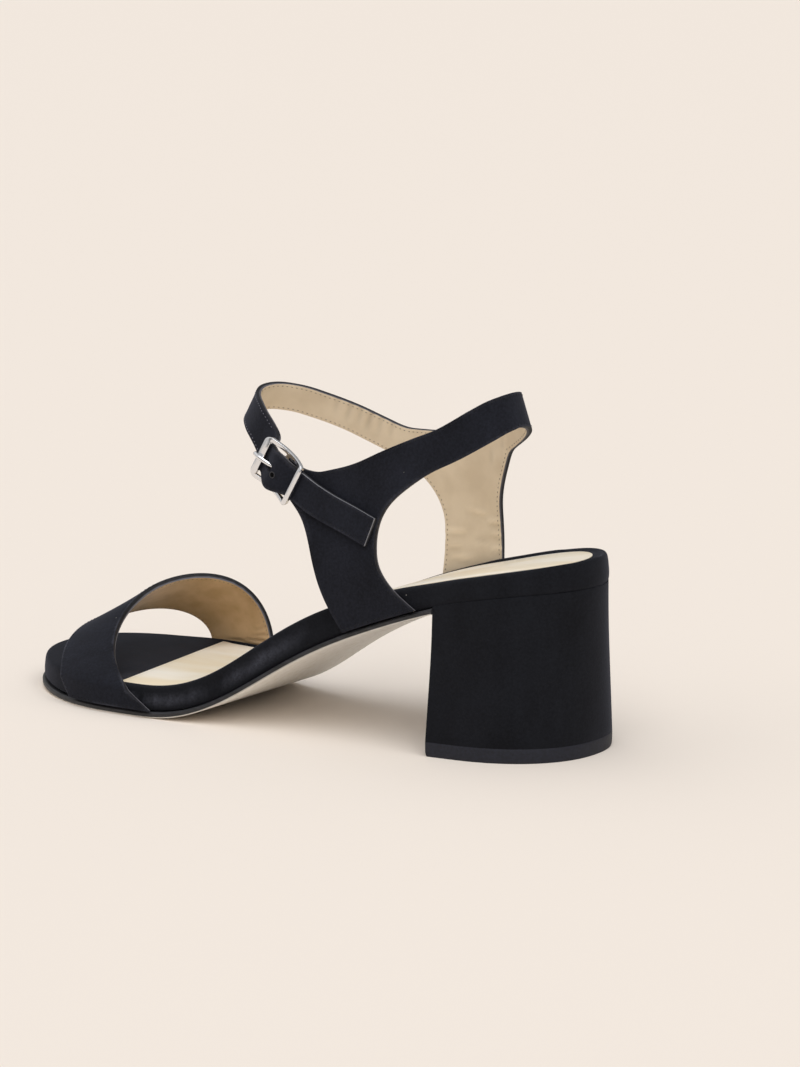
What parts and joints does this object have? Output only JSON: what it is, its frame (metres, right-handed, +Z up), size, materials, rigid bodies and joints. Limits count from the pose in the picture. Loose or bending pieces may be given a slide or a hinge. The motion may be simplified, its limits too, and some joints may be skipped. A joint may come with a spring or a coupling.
{
  "type": "mid heel sandal",
  "caption": "Black suede mid heel sandal: arched toe strap, quarter that runs on as a buckled ankle strap, leather sock and outsole, covered block heel with a rubber top piece.",
  "frame": {"origin": "middle of the bounding box on the floor plane", "axes": "+Z up, toe towards -X and heel towards +X, outer side of the foot towards -Y"},
  "size_m": [0.228, 0.0838, 0.1194],
  "materials": {
    "sole_leather": "smooth sole leather with a black-dyed edge",
    "footbed_suede": "matt napped suede",
    "sock_leather": "smooth leather with a soft pale sheen",
    "heel_suede": "matt napped suede",
    "top_piece_rubber": "moulded, satin",
    "strap_suede": "matt napped suede, lined with smooth leather",
    "buckle_metal": "polished nickel plate"
  },
  "bodies": {
    "root": {"outsole": "sole_leather", "footbed": "footbed_suede", "insole_sock": "sock_leather", "heel_block": "heel_suede", "heel_top_piece": "top_piece_rubber", "toe_strap": "strap_suede", "quarter_and_ankle_strap": "strap_suede", "buckle_frame": "buckle_metal", "buckle_prong": "buckle_metal"}
  },
  "joints": []
}
